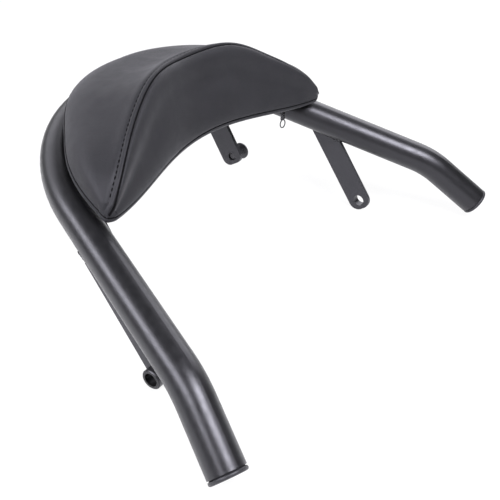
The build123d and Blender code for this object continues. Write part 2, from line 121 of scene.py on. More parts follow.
def soften(values, sigma):
    """Values smoothed along the first axis."""
    n = int(3 * sigma)
    kernel = np.exp(-0.5 * (np.arange(-n, n + 1) / sigma) ** 2)
    wide = np.concatenate([np.repeat(values[:1], n, 0), values, np.repeat(values[-1:], n, 0)])
    return np.apply_along_axis(np.convolve, 0, wide, kernel / kernel.sum(), "valid")


def lengths(path):
    """Distance along a path of points from its first point."""
    return np.concatenate([[0], np.cumsum(np.linalg.norm(np.diff(path, axis=0), axis=1))])


def at_length(values, run, d):
    """The value at distance d along a path whose points lie at the distances run."""
    return np.array([np.interp(d, run, values[:, k]) for k in range(3)])


def directions(path, closed=False):
    """Unit directions along a path of points."""
    path = np.asarray(path, float)
    if closed:
        step = np.roll(path, -1, axis=0) - np.roll(path, 1, axis=0)
    else:
        step = np.concatenate([path[1:2] - path[:1], path[2:] - path[:-2], path[-1:] - path[-2:-1]])
    return step / np.linalg.norm(step, axis=1, keepdims=True)


# Meshes
JOIN_DISTANCE = 2e-5


def circle(count):
    """Angles of points spaced evenly round a circle."""
    return [2 * math.pi * j / count for j in range(count)]


def ring_points(mid, axis_a, axis_b, count):
    """Points round an ellipse with two half axes."""
    return np.array([mid + axis_a * math.cos(a) + axis_b * math.sin(a) for a in circle(count)])


def join_rings(bm, rings, closed=False):
    """Faces between rings of points in metres, with a cap at both ends unless the rings close up."""
    rows = [[bm.verts.new(p) for p in ring] for ring in rings]
    for a, b in zip(rows, rows[1:] + rows[:1] if closed else rows[1:]):
        for j in range(len(a)):
            k = (j + 1) % len(a)
            bm.faces.new((a[j], a[k], b[k], b[j]))
    if not closed:
        bm.faces.new(rows[0])
        bm.faces.new(list(reversed(rows[-1])))


def join_grids(grids, closed=False):
    """A mesh of grids of points in metres, joined where they meet."""
    bm = bmesh.new()
    for grid in grids:
        rows = [[bm.verts.new(p) for p in row] for row in grid]
        for a, b in zip(rows, rows[1:] + rows[:1] if closed else rows[1:]):
            for i in range(len(a) - 1):
                bm.faces.new((a[i], b[i], b[i + 1], a[i + 1]))
    bmesh.ops.remove_doubles(bm, verts=bm.verts, dist=JOIN_DISTANCE)
    return bm


def finish_mesh(name, bm):
    """An object with smooth faces."""
    bmesh.ops.recalc_face_normals(bm, faces=bm.faces)
    me = bpy.data.meshes.new(name)
    bm.to_mesh(me)
    bm.free()
    for poly in me.polygons:
        poly.use_smooth = True
    ob = bpy.data.objects.new(name, me)
    bpy.context.scene.collection.objects.link(ob)
    return ob


# Pad: plan outline, from the middle, s = 0, to the tips
PAD_BOTTOM = 21.15
SEAM = 27.35
EDGE_R = BOW_R + 0.8
PAD_ANG = math.radians(86.6)
TIP_U, TIP_V = EDGE_R * math.sin(PAD_ANG), EDGE_R * math.cos(PAD_ANG)
FRONT_MIDDLE_V = BOW_R - 118.0
SWEEP = FRONT_MIDDLE_V - TIP_V
PAD_TURN = math.radians(0.8)

# The tip closes as a nose: it narrows and gets lower over a quarter turn
END_S = 0.945
TIP_R = 5.5
NOSE_POINT = 0.42
NOSE_FALL = 1.15
QUARTER = math.pi / 2
HALF_COUNT, NOSE_COUNT = 90, 8
SPAN = [(END_S * math.sin(QUARTER * i / HALF_COUNT), 0.0) for i in range(-HALF_COUNT, HALF_COUNT + 1)]
NOSE = [QUARTER * i / NOSE_COUNT for i in range(1, NOSE_COUNT + 1)]
STATIONS = [(-END_S, phi) for phi in reversed(NOSE)] + SPAN + [(END_S, phi) for phi in NOSE]
T_FRONT, T_REAR = ease(44), ease(60)

# The ridge: its height, its waves (height, place, width) and its share of the width from the front edge
RIDGE_RISE, RIDGE_POWER = 58.6, 2.3
TIP_HEIGHT = 3.0
RIDGE_WAVES = ((-5.0, 0.0, 0.2), (1.0, 0.3, 0.12), (-2.6, 0.56, 0.14), (1.6, 0.84, 0.07))
RIDGE_MIDDLE, RIDGE_TIP = 0.343, 0.258
# Inner controls of the front face: share of the way to the ridge, share out of it
FRONT_CURVE = ((0.22, 0.15), (0.5, -0.05), (0.8, 0.12))
# Inner controls of the rear face: share of the way down, share out at the middle and at the tips, power
REAR_CURVE = ((0.08, 0.12, -0.04, 2), (1 / 3, -0.12, 0.60, 4), (2 / 3, 0.25, 0.98, 4))


def front_edge(s):
    """The pad's front edge in plan: a sweep between the tips."""
    return np.array([TIP_U * s, TIP_V + SWEEP * (1 - s * s) ** 2])


def rear_edge(s):
    """The pad's rear edge in plan: an arc over the bow."""
    return np.array([EDGE_R * math.sin(PAD_ANG * s), EDGE_R * math.cos(PAD_ANG * s)])


def section(s):
    """Front and rear faces of the pad's section at station s: x from the front edge, y up."""
    width = np.linalg.norm(rear_edge(s) - front_edge(s))
    height = RIDGE_RISE * (1 - abs(s) ** RIDGE_POWER) + TIP_HEIGHT + waves(abs(s), RIDGE_WAVES)
    ridge = np.array([mix(RIDGE_MIDDLE, RIDGE_TIP, s, 2) * width, height])
    out = np.array([-ridge[1], ridge[0]])
    front = [ridge * way + out * off for way, off in FRONT_CURVE]
    run = np.array([width, 0.0]) - ridge
    out = np.array([-run[1], run[0]])
    rear = [ridge + run * way + out * mix(middle, tip, s, power) for way, middle, tip, power in REAR_CURVE]
    return bezier([ridge * 0] + front + [ridge], T_FRONT), bezier([ridge] + rear + [ridge + run], T_REAR)


def nose_shares(phi):
    """What is left of a section's width and height at an angle round the nose."""
    narrow = math.cos(phi) * (1 - NOSE_POINT * math.sin(phi))
    low = 0.5 * (1 - math.sin(phi)) ** NOSE_FALL + 0.5 * narrow
    return narrow, low


def pad_grids():
    """Grids of points of the front and rear panels, in the bow's plane."""
    c, d = math.cos(PAD_TURN), math.sin(PAD_TURN)
    turn = np.array([[c, -d], [d, c]])
    fronts, rears = [], []
    for s, phi in STATIONS:
        front, rear = front_edge(s), rear_edge(s)
        width = np.linalg.norm(rear - front)
        across = (rear - front) / width
        outward = np.array([across[1], -across[0]]) * math.copysign(1, s)
        shift = outward * TIP_R * math.sin(phi)
        narrow, low = nose_shares(phi)
        for face, store in zip(section(s), (fronts, rears)):
            x = (face[:, 0] - width / 2) * narrow + width / 2
            flat = front + x[:, None] * across + shift
            store.append(np.column_stack([flat @ turn, SEAM + face[:, 1] * low]))
    return np.array(fronts), np.array(rears)


def grid_normals(grid):
    """Unit normals of a grid, mostly upward."""
    normal = np.cross(np.gradient(grid, axis=1), np.gradient(grid, axis=0))
    normal /= np.maximum(np.linalg.norm(normal, axis=-1, keepdims=True), 1e-9)
    return -normal if np.mean(normal[..., 2]) < 0 else normal


front_grid, rear_grid = pad_grids()
front_normal = grid_normals(front_grid)

# Fill of the pad: the rear panel is hollow at the middle, where its edge stands out, and tucks in further on
REACH = np.abs([s for s, _ in STATIONS])
HOLLOW = waves(REACH, ((-5.2, 0.08, 0.24),))
FOOT = waves(REACH, ((4.6, 0.14, 0.22), (-3.6, 0.54, 0.16)))
rear_grid = rear_grid + grid_normals(rear_grid) * (HOLLOW[:, None] * np.sin(np.pi * T_REAR))[..., None]
edge_out = rear_grid[:, -1, :2] / np.linalg.norm(rear_grid[:, -1, :2], axis=1, keepdims=True)
rear_grid[..., :2] += edge_out[:, None, :] * (FOOT[:, None] * T_REAR ** 2)[..., None]
rear_normal = grid_normals(rear_grid)

SLACK = 1.6
FULL_SPAN = 60.0
MOST_PUSH = 1.8
COARSE_ROWS, COARSE_COLS = 61, 17
HELD_WITHIN = 1e-4
PRESS_FRAMES = 20
SMOOTH_ACROSS, SMOOTH_ALONG = 4.0, 5.0


def press_out(ob, held):
    """The object's points after a cloth run that holds some of them and presses the rest out."""
    ob.vertex_groups.new(name="held").add(held, 1.0, "REPLACE")
    cloth = ob.modifiers.new("cloth", "CLOTH").settings
    cloth.quality = 6
    cloth.mass = 0.2
    cloth.tension_stiffness = cloth.compression_stiffness = 25
    cloth.shear_stiffness = 12
    cloth.bending_stiffness = 1.5
    cloth.vertex_group_mass = "held"
    cloth.use_pressure = True
    cloth.uniform_pressure_force = 4.0
    cloth.effector_weights.gravity = 0.0
    for number in range(1, PRESS_FRAMES + 1):
        bpy.context.scene.frame_set(number)
    return mesh_points(ob.evaluated_get(bpy.context.evaluated_depsgraph_get()).data)


def mesh_points(me):
    """A mesh's points as rows."""
    flat = np.empty(len(me.vertices) * 3)
    me.vertices.foreach_get("co", flat)
    return flat.reshape(-1, 3)


def inflate(name, grid):
    """How far a panel, held at its seams, moves when it is pressed out: a cloth run on a coarse copy."""
    rows = np.linspace(0, grid.shape[0] - 1, COARSE_ROWS)
    cols = np.linspace(0, grid.shape[1] - 1, COARSE_COLS)
    coarse = to_part(grid[np.round(rows).astype(int)][:, np.round(cols).astype(int)])
    seams = np.concatenate([coarse[0], coarse[-1], coarse[:, 0], coarse[:, -1]])
    ob = finish_mesh(name, join_grids([coarse]))
    start = mesh_points(ob.data)
    held = [k for k, p in enumerate(start) if np.linalg.norm(seams - p, axis=1).min() < HELD_WITHIN]
    moved = np.linalg.norm(press_out(ob, held) - start, axis=1)
    nearest = [[int(np.argmin(np.sum((start - p) ** 2, axis=1))) for p in row] for row in coarse]
    field = moved[np.array(nearest)]
    bpy.data.objects.remove(ob)
    bpy.context.scene.frame_set(1)
    field /= max(field.max(), 1e-9)
    wide = np.array([np.interp(np.arange(grid.shape[1]), cols, r) for r in field])
    full = np.array([np.interp(np.arange(grid.shape[0]), rows, c) for c in wide.T])
    return soften(soften(full, SMOOTH_ACROSS).T, SMOOTH_ALONG)


def filled(name, grid, normal, t):
    """A panel with the cloth run's form in place of an even hump of the same volume."""
    span = np.linalg.norm(grid[:, -1] - grid[:, 0], axis=1)
    hump = 4 * t * (1 - t) * np.clip(span / FULL_SPAN, 0, 1)[:, None]
    push = inflate(name, grid)
    push = push * hump.sum() / push.sum()
    return grid + normal * (SLACK * (np.minimum(push, MOST_PUSH) - hump))[..., None]


front_grid = filled("front_run", front_grid, front_normal, T_FRONT)
rear_grid = filled("rear_run", rear_grid, rear_normal, T_REAR)

# Relief beside the ridge: seam groove, rolled edges, stitch row, and a scoop in the front panel
# A groove, roll or dent is given by its height, distance and width
STITCH_AT = 5.2
GROOVE = (-1.8, 0.0, 0.8)
REAR_RELIEF = (GROOVE, (0.7, 2.6, 1.6), (-0.75, STITCH_AT, 0.8), (0.5, 9.0, 3.5))
SEAM_DENT = ((-0.9, 0.0, 0.8),)
FADE_HEIGHT = 8.0
BROAD_FROM = 55.0
SHOULDER, SHOULDER_AT, SHOULDER_POWER = 1.7, 7.5, 0.6
SCOOP, SCOOP_AT, SCOOP_W = 2.6, 25.0, 11.0

nose_fade = np.array([math.cos(phi) ** 2 for _, phi in STATIONS])
fade = np.clip(rear_grid[:, 0, 2] - SEAM, 0, FADE_HEIGHT)[:, None] / FADE_HEIGHT * nose_fade[:, None]
rear_from_ridge = np.array([lengths(row) for row in rear_grid])
rear_from_seam = rear_from_ridge[:, -1:] - rear_from_ridge
rear_push = fade * waves(rear_from_ridge, REAR_RELIEF) + waves(rear_from_seam, SEAM_DENT)
front_from_seam = np.array([lengths(row) for row in front_grid])
front_from_ridge = front_from_seam[:, -1:] - front_from_seam
broad = np.clip(front_from_seam[:, -1:] / BROAD_FROM, 0.1, 1.0)
roll = front_from_ridge / (SHOULDER_AT * broad ** SHOULDER_POWER)
front_push = fade * (
    waves(front_from_ridge, (GROOVE,))
    + SHOULDER * broad * roll * np.exp(1 - roll)
    - SCOOP * broad * bell(front_from_ridge, SCOOP_AT * broad, SCOOP_W * broad)
) + waves(front_from_seam, SEAM_DENT)
front_skin = front_grid + front_normal * front_push[..., None]
rear_skin = rear_grid + rear_normal * rear_push[..., None]
ridge_line = 0.5 * (front_skin[:, -1] + rear_skin[:, 0])
front_skin[:, -1] = ridge_line
rear_skin[:, 0] = ridge_line
pad_top = finish_mesh("pad_top", join_grids([to_part(front_skin), to_part(rear_skin)]))

# Band and underside: a soft side wall under the lower seam that rounds under the pad
# The band's section: distance out from the seam and height from it
BAND_SECTION = ((-1.0, 0.0), (-0.3, -0.25), (0.1, -0.8), (0.3, -2.0), (0.2, -3.2), (-0.3, -4.3),
                (-1.2, -5.3), (-2.4, -5.95), (-3.8, -6.2), (-6.0, -6.2), (-9.0, -6.2))
RIM_WITHIN = 0.2
seam_ring = np.concatenate([front_grid[:, 0], rear_grid[-2:0:-1, -1]])[:, :2]
tangent = directions(seam_ring, closed=True)
outside = np.column_stack([tangent[:, 1], -tangent[:, 0]])
seam_height = np.full(len(seam_ring), SEAM)
band = np.stack([np.column_stack([seam_ring + outside * out, seam_height + w]) for out, w in BAND_SECTION], 1)
bm = join_grids([to_part(band)], closed=True)
open_edges = [e for e in bm.edges if e.is_boundary]
rim = [e for e in open_edges if all(abs(bow_height(v.co) - PAD_BOTTOM) < RIM_WITHIN for v in e.verts)]
bmesh.ops.triangle_fill(bm, use_beauty=True, edges=rim)
pad_band = finish_mesh("pad_band", bm)


# Top stitching, one row on the rear panel beside the ridge, and dark cords in the seams that are painted
# shade for the shade in the seams' grooves
def capsule(bm, mid, direction, up, half, radius, segments=8, rings=7):
    """A tapered, slightly flat rod that dips in at both ends: a stitch or a short weld."""
    thinnest, taper, lift, dip, flat = 0.06, 0.75, 0.35, 0.9, 0.8
    side = np.cross(direction, up)
    side /= np.linalg.norm(side)
    up = np.cross(side, direction)
    rows = []
    for x in np.linspace(-1, 1, rings):
        r = radius * math.sqrt(max(thinnest, 1 - taper * x ** 4))
        centre = mid + direction * half * x + up * radius * (lift - dip * x * x)
        rows.append(to_part(ring_points(centre, side * r, up * flat * r, segments)))
    join_rings(bm, rows)


def seam_shade_cord(name, line, radius, closed=False):
    """Painted shade in a sunk seam: a fine dark cord, slightly uneven, along a line of points of the bow's
    plane.
    """
    uneven, turn, sides = 0.08, 2.1, 8
    rows = []
    for i, (p, along) in enumerate(zip(line, directions(line, closed))):
        side = np.cross(along, UP)
        side /= max(np.linalg.norm(side), 1e-9)
        r = radius * (1 + uneven * math.sin(turn * i))
        rows.append(to_part(ring_points(p, side * r, np.cross(side, along) * r, sides)))
    bm = bmesh.new()
    join_rings(bm, rows, closed)
    return finish_mesh(name, bm)


STITCH_PITCH = 4.9
STITCH_HALF, STITCH_R = 1.75, 0.55
STITCH_REACH = 1.9
STITCH_MARGIN = 6.0
LEAST_PANEL = STITCH_AT * 2.2
RIDGE_SHADE_CORD_R, RIDGE_SHADE_CORD_LIFT, RIDGE_SHADE_CORD_SHORT = 1.0, 0.3, 3
LOWER_SHADE_CORD_R, LOWER_SHADE_CORD_SUNK = 0.7, 0.6

stitch_line, stitch_up = [], []
for (_, phi), run, skin, normal in zip(STATIONS, rear_from_ridge, rear_skin, rear_normal):
    if phi or run[-1] < LEAST_PANEL:
        continue
    k = np.searchsorted(run, STITCH_AT)
    f = (STITCH_AT - run[k - 1]) / (run[k] - run[k - 1])
    stitch_line.append(skin[k - 1] * (1 - f) + skin[k] * f)
    stitch_up.append(normal[k])
stitch_line, stitch_up = np.array(stitch_line), np.array(stitch_up)
stitch_run = lengths(stitch_line)

bm = bmesh.new()
count = int((stitch_run[-1] - STITCH_MARGIN) / STITCH_PITCH)
first = (stitch_run[-1] - (count - 1) * STITCH_PITCH) / 2
for i in range(count):
    d = first + i * STITCH_PITCH
    back, mid, ahead = (at_length(stitch_line, stitch_run, d + x) for x in (-STITCH_REACH, 0, STITCH_REACH))
    direction = (ahead - back) / np.linalg.norm(ahead - back)
    capsule(bm, mid, direction, at_length(stitch_up, stitch_run, d), STITCH_HALF, STITCH_R)
stitches = finish_mesh("ridge_stitches", bm)
# The seam cords: dark lines laid in the ridge seam and the lower seam as painted shade
ridge_shade_cord = ridge_line[RIDGE_SHADE_CORD_SHORT:-RIDGE_SHADE_CORD_SHORT] + UP * RIDGE_SHADE_CORD_LIFT
ridge_seam_shade = seam_shade_cord("ridge_seam_shade", ridge_shade_cord, RIDGE_SHADE_CORD_R)
lower_shade_cord = np.column_stack([seam_ring - outside * LOWER_SHADE_CORD_SUNK, seam_height])
lower_seam_shade = seam_shade_cord("lower_seam_shade", lower_shade_cord, LOWER_SHADE_CORD_R, True)

# Weld beads where the straps meet the tube: a wide one on the inner face, fine ones on the other sides
FACE_BEAD, SIDE_BEAD = 2.8, 0.8
FACE_POINTS, SIDE_POINTS = 26, 4
BEAD_BLEND = 1.5
SEARCH_PAST, SEARCH_STEPS = 14.0, 160
BEAD_STEP = 0.55
BEAD_SUNK = 0.1
BEAD_TALL = 1.05
BEAD_BACK = 0.3
BEAD_SIDES = 10
# Ripples of a bead: share of its size, pitch, phase
RIPPLES = ((0.16, 2.6, 0.0), (0.10, 7.1, 1.0))


def tube_distance(p):
    """Distance from a point of the bow's plane to the tube's centre line, bow and legs."""
    u, v, w = abs(p[0]), p[1], p[2]
    if math.atan2(u, v) <= HALF:
        return math.hypot(math.hypot(u, v) - BOW_R, w)
    rel = np.array([u, v]) - ARC_END
    t = min(max(rel @ LEG_DIR, 0.0), LEG)
    off = rel - LEG_DIR * t
    return math.hypot(math.hypot(off[0], off[1]), w)


def weld_loop(x_in, hole_v, drop, fall, side):
    """Points round a strap's section where it meets the tube, directions away from it, sizes, strap's run."""
    up = np.array([0, math.cos(fall), math.sin(fall)])
    wide = np.array([0, -math.sin(fall), math.cos(fall)])
    h, t = TAB_W / 2, TAB_T
    corners = [(-h, 0), (h, 0), (h, t), (-h, t)]
    outs = [(0, -1), (1, 0), (0, 1), (-1, 0)]
    steps = np.linspace(0.0, drop / math.sin(fall) + SEARCH_PAST, SEARCH_STEPS)
    points, away, sizes = [], [], []
    for k, (out_wide, out_thick) in enumerate(outs):
        start, end = np.array(corners[k]), np.array(corners[(k + 1) % 4])
        n = FACE_POINTS if k % 2 == 0 else SIDE_POINTS
        for i in range(n):
            a, b = start + (end - start) * (i / n)
            base = np.array([side * (x_in + b), hole_v, -drop]) + wide * a
            gaps = [tube_distance(base + up * q) for q in steps]
            hits = [q for q, gap in zip(steps, gaps) if gap < TUBE_R]
            q = hits[0] if hits else steps[int(np.argmin(gaps))]
            points.append(base + up * (q - BEAD_BACK))
            away.append(np.array([side * out_thick, 0, 0]) + wide * out_wide)
            sizes.append(FACE_BEAD if k == 0 else SIDE_BEAD)
    return np.array(points), np.array(away), soften(np.array(sizes), BEAD_BLEND), up


def weld_bead(name, x_in, hole_v, drop, fall, side):
    """A rippled bead round a strap's end."""
    points, away, sizes, up = weld_loop(x_in, hole_v, drop, fall, side)
    n = len(points)
    away = np.roll(away, 1, axis=0) + away + np.roll(away, -1, axis=0)
    away /= np.linalg.norm(away, axis=1, keepdims=True)
    run = lengths(np.vstack([points, points[:1]]))
    steps = int(run[-1] / BEAD_STEP)
    rows = []
    for i in range(steps):
        x = run[-1] * i / steps
        k = int(np.searchsorted(run, x, side="right") - 1)
        f = (x - run[k]) / max(run[k + 1] - run[k], 1e-6)
        point, out, size = (q[k] * (1 - f) + q[(k + 1) % n] * f for q in (points, away, sizes))
        out = out / np.linalg.norm(out)
        r = size * (1 + sum(h * math.sin(2 * math.pi * x / pitch + phase) for h, pitch, phase in RIPPLES))
        centre = point - out * BEAD_SUNK + up * BEAD_BACK
        rows.append(to_part(ring_points(centre, out * r, up * r * BEAD_TALL, BEAD_SIDES)))
    bm = bmesh.new()
    join_rings(bm, rows, closed=True)
    return finish_mesh(name, bm)


# How far the straps' inner faces stand outside the tube's axis
FRONT_OUT, REAR_OUT = 6.2, 5.43
front_weld_v = FRONT_V + FRONT_DROP / math.tan(FRONT_FALL)
front_x = ARC_END[0] + (ARC_END[1] - front_weld_v) / math.tan(HALF) + FRONT_OUT
rear_weld_v = REAR_V + REAR_DROP / math.tan(REAR_FALL)
rear_x = math.sqrt(BOW_R ** 2 - rear_weld_v ** 2) + REAR_OUT
welds = []
for side, label in SIDES:
    welds.append(weld_bead("weld_front_" + label, front_x, FRONT_V, FRONT_DROP, FRONT_FALL, side))
    welds.append(weld_bead("weld_rear_" + label, rear_x, REAR_V, REAR_DROP, REAR_FALL, side))

# End plugs: a rounded flange on a neck, a little proud of the tube
BEND_R, BEND, END = 85.0, math.radians(20.7), 51.0
# The plug's section: radius and distance past the tube's end
PLUG_SECTION = ((10.2, -13.5), (12.0, -13.2), (12.4, -12.6), (12.4, -0.2), (13.6, 0.05), (13.7, 0.75),
                (14.3, 0.85), (14.8, 1.15), (15.05, 1.8), (15.05, 2.8), (14.8, 3.4), (14.3, 3.85),
                (13.5, 4.1), (11.5, 4.15), (4.0, 4.2))


def lathe(name, profile, origin, axis, segments=72):
    """A turned piece from radii and heights along an axis."""
    across = np.cross(axis, UP)
    across /= np.linalg.norm(across)
    other = np.cross(axis, across)
    bm = bmesh.new()
    rings = [ring_points(origin + axis * h, across * r, other * r, segments) for r, h in profile]
    join_rings(bm, to_part(rings))
    return finish_mesh(name, bm)


plugs = []
for side, label in SIDES:
    flat = ARC_END + LEG_DIR * (LEG + BEND_R * math.sin(BEND) + END * math.cos(BEND))
    end = np.array([side * flat[0], flat[1], -BEND_R * (1 - math.cos(BEND)) - END * math.sin(BEND)])
    axis = np.array([side * LEG_DIR[0] * math.cos(BEND), LEG_DIR[1] * math.cos(BEND), -math.sin(BEND)])
    plugs.append(lathe("tube_plug_" + label, PLUG_SECTION, end, axis))

# Lugs: flat strips on the tube's top with broken edges, ending in a weld under the pad's edge
LUG_TURN = math.radians(50)
LUG_HALF = 15.0
LUG_ROUND_R, LUG_ROUND_POINTS = 127.0, 33
LUG_END_R = 150.5
LUG_BASE = TUBE_R + 0.05
LUG_TOP = LUG_BASE + 6.0
# Broken edges: inset and distance from the face
LUG_EDGE = ((0.8, 0.0), (0.25, 0.2), (0.0, 0.75))
LUG_CORNER, LUG_BEVEL = 2.0, 0.6
LUG_WELD_HALF, LUG_WELD_R = 13.5, 2.0
LUG_WELD_IN, LUG_WELD_W = 0.2, 14.9
FLAT_AREA = 4e-6


def lug(name, turn):
    """A lug at an angle round the bow: x across it, y the radius from the bow's centre."""
    turns = np.linspace(0, math.pi, LUG_ROUND_POINTS)
    plan = [(LUG_HALF * math.cos(a), LUG_ROUND_R - LUG_HALF * math.sin(a)) for a in turns]
    corner = [(0.0, LUG_CORNER), (LUG_BEVEL, LUG_BEVEL), (LUG_CORNER, 0.0)]
    plan += [(-LUG_HALF + x, LUG_END_R - y) for x, y in corner]
    plan += [(LUG_HALF - x, LUG_END_R - y) for x, y in reversed(corner)]
    plan = np.array(plan)
    inward = np.array([0.0, 0.5 * (LUG_ROUND_R + LUG_END_R)]) - plan
    inward /= np.linalg.norm(inward, axis=1, keepdims=True)
    layers = [(inset, LUG_TOP - d) for inset, d in LUG_EDGE]
    layers += [(inset, LUG_BASE + d) for inset, d in reversed(LUG_EDGE)]

    def place(x, y, w):
        c, d = math.cos(turn), math.sin(turn)
        return np.array([x * c + y * d, -x * d + y * c, w])

    bm = bmesh.new()
    join_rings(bm, [[to_part(place(x, y, w)) for x, y in plan + inward * inset] for inset, w in layers])
    weld_mid = place(0, LUG_END_R - LUG_WELD_IN, LUG_WELD_W)
    capsule(bm, weld_mid, place(1, 0, 0), UP, LUG_WELD_HALF, LUG_WELD_R, segments=12, rings=25)
    ob = finish_mesh(name, bm)
    for poly in ob.data.polygons:
        poly.use_smooth = len(poly.vertices) == 4 and poly.area < FLAT_AREA
    return ob


lugs = [lug("lug_left", -LUG_TURN), lug("lug_centre", 0.0), lug("lug_right", LUG_TURN)]

# Zip teeth: two rows of small moulded teeth that mesh along the tape
ZIP_REACH, ZIP_INSET, ZIP_SAMPLES = 0.795, 7.2, 400
TOOTH_PITCH, TOOTH_START, TOOTH_BACK = 1.35, 1.0, 0.8
TOOTH_LOW, TOOTH_HIGH = PAD_BOTTOM - 2.15, PAD_BOTTOM - 0.62
TOOTH_BEVEL, TOOTH_BEVEL_SHARE = 0.35, 0.80
# A tooth's plan: along the zip and across it
TOOTH_PLAN = ((-0.85, -1.3), (0.85, -1.3), (0.55, 0.9), (0.3, 1.4), (-0.3, 1.4), (-0.55, 0.9))


def zip_point(s):
    """A point of the zip's line, inside the pad's front edge, and the line's direction."""
    t = np.array([TIP_U, -4 * SWEEP * s * (1 - s * s)])
    t /= np.linalg.norm(t)
    return front_edge(s) + np.array([-t[1], t[0]]) * ZIP_INSET, t


def tooth(bm, mid, t, across):
    """One tooth: a small block that narrows towards its tip and has a broken lower edge."""
    layers = ((TOOTH_LOW, TOOTH_BEVEL_SHARE), (TOOTH_LOW + TOOTH_BEVEL, 1.0), (TOOTH_HIGH, 1.0))
    join_rings(bm, [[to_part(np.append(mid + t * x * k + across * y * k, w)) for x, y in TOOTH_PLAN]
                    for w, k in layers])


zip_stations = np.linspace(-ZIP_REACH, ZIP_REACH, ZIP_SAMPLES)
zip_run = lengths(np.array([zip_point(s)[0] for s in zip_stations]))
bm = bmesh.new()
for i in range(int(zip_run[-1] / TOOTH_PITCH)):
    mid, t = zip_point(float(np.interp(TOOTH_START + i * TOOTH_PITCH, zip_run, zip_stations)))
    across = np.array([-t[1], t[0]]) * (1 if i % 2 else -1)
    tooth(bm, mid - across * TOOTH_BACK, t, across)
teeth = finish_mesh("zip_teeth", bm)
for poly in teeth.data.polygons:
    poly.use_smooth = False

# Zip pull: a short plate on the slider's bridge with a wire ring
# The joint's pin, in millimetres of the part, and its axis
PIN = np.array([115.36, 67.8139, 106.962])
FACE = np.array([0.239454, 0.970908, 0.0])
ACROSS = np.array([-FACE[1], FACE[0], 0.0])
# The plate: height from the pin and half width
PLATE = ((-4.2, 2.0), (-4.6, 2.8), (-5.2, 3.2), (-6.5, 3.3), (-8.0, 3.2), (-8.6, 2.8), (-9.0, 1.8))
MOST_DEPTH, PLATE_FLAT = 0.8, 0.95
EYE_WIDE, EYE_TALL, EYE_Y, EYE_WIRE = 2.6, 2.4, -2.4, 0.7
RING_WIDE, RING_TALL, RING_Y, RING_WIRE = 3.4, 4.3, -13.1, 0.62


def pull_point(p):
    """A point of the part in metres from one across, up and along the axis from the pin."""
    return (PIN + ACROSS * p[0] + UP * p[1] + FACE * p[2]) * MM


def rod(bm, path, radii, closed, flat=1.0, segments=10):
    """A rod along points given across and up in the pull's own plane."""
    rows = []
    for p, t, r in zip(path, directions(path, closed), radii):
        depth = np.array([0, 0, min(r, MOST_DEPTH) * flat])
        ring = ring_points(np.array([*p, 0]), np.array([-t[1], t[0], 0]) * r, depth, segments)
        rows.append([pull_point(q) for q in ring])
    join_rings(bm, rows, closed)


def wire_oval(bm, wide, tall, mid_y, wire, count):
    """A closed oval of wire below the pin."""
    path = [(wide * math.cos(a), mid_y + tall * math.sin(a)) for a in circle(count)]
    rod(bm, path, [wire] * count, True)


bm = bmesh.new()
rod(bm, [(0, y) for y, _ in PLATE], [r for _, r in PLATE], False, flat=PLATE_FLAT, segments=16)
wire_oval(bm, EYE_WIDE, EYE_TALL, EYE_Y, EYE_WIRE, count=28)
wire_oval(bm, RING_WIDE, RING_TALL, RING_Y, RING_WIRE, count=36)
pull = finish_mesh("zip_ring", bm)

# Materials
COOL = (0.93, 0.92, 1.0, 1.0)
COOL_SHEEN = (0.94, 0.93, 1.0, 1.0)


def material(name, color, rough, **sockets):
    """A Principled material with its tree, shader and coordinates."""
    m = bpy.data.materials.new(name)
    m.use_nodes = True
    nt = m.node_tree
    bsdf = nt.nodes["Principled BSDF"]
    bsdf.inputs["Base Color"].default_value = (*color, 1)
    bsdf.inputs["Roughness"].default_value = rough
    for key, value in sockets.items():
        bsdf.inputs[key.replace("_", " ")].default_value = value
    coord = nt.nodes.new("ShaderNodeTexCoord")
    return m, nt, bsdf, coord


def noise(nt, coord, scale, detail=4.0, rough=0.55):
    n = nt.nodes.new("ShaderNodeTexNoise")
    n.inputs["Scale"].default_value = scale
    n.inputs["Detail"].default_value = detail
    n.inputs["Roughness"].default_value = rough
    nt.links.new(coord.outputs["Object"], n.inputs["Vector"])
    return n.outputs["Fac"]


def ramp(nt, fac, low, high, lo=0.3, hi=0.7):
    """A value from low to high where fac goes from lo to hi."""
    r = nt.nodes.new("ShaderNodeMapRange")
    r.inputs["From Min"].default_value = lo
    r.inputs["From Max"].default_value = hi
    r.inputs["To Min"].default_value = low
    r.inputs["To Max"].default_value = high
    nt.links.new(fac, r.inputs["Value"])
    return r.outputs["Result"]


def shade(nt, fac, dark, light):
    """A colour from dark to light."""
    r = nt.nodes.new("ShaderNodeMix")
    r.data_type = "RGBA"
    r.inputs["A"].default_value = (*dark, 1)
    r.inputs["B"].default_value = (*light, 1)
    nt.links.new(fac, r.inputs["Factor"])
    return r.outputs["Result"]


def relief(nt, bsdf, height, distance, strength, after=None):
    """Fine bumps on a shader, on top of other bumps where given."""
    b = nt.nodes.new("ShaderNodeBump")
    b.inputs["Distance"].default_value = distance
    b.inputs["Strength"].default_value = strength
    nt.links.new(height, b.inputs["Height"])
    if after is not None:
        nt.links.new(after, b.inputs["Normal"])
    nt.links.new(b.outputs["Normal"], bsdf.inputs["Normal"])
    return b.outputs["Normal"]


def grained(name, dark, light, rough, level):
    """An even surface with slight patches of tone and gloss and a fine grain."""
    patch, gloss, grain, peel = 60, 180, 2600, 620
    m, nt, bsdf, coord = material(name, dark, rough, Specular_IOR_Level=level, Specular_Tint=COOL)
    nt.links.new(shade(nt, noise(nt, coord, patch), dark, light), bsdf.inputs["Base Color"])
    nt.links.new(ramp(nt, noise(nt, coord, gloss), rough - 0.04, rough + 0.05), bsdf.inputs["Roughness"])
    fine = relief(nt, bsdf, noise(nt, coord, grain, 2.0), 0.0001, 0.25)
    relief(nt, bsdf, noise(nt, coord, peel, 2.0), 0.0002, 0.10, fine)
    return m


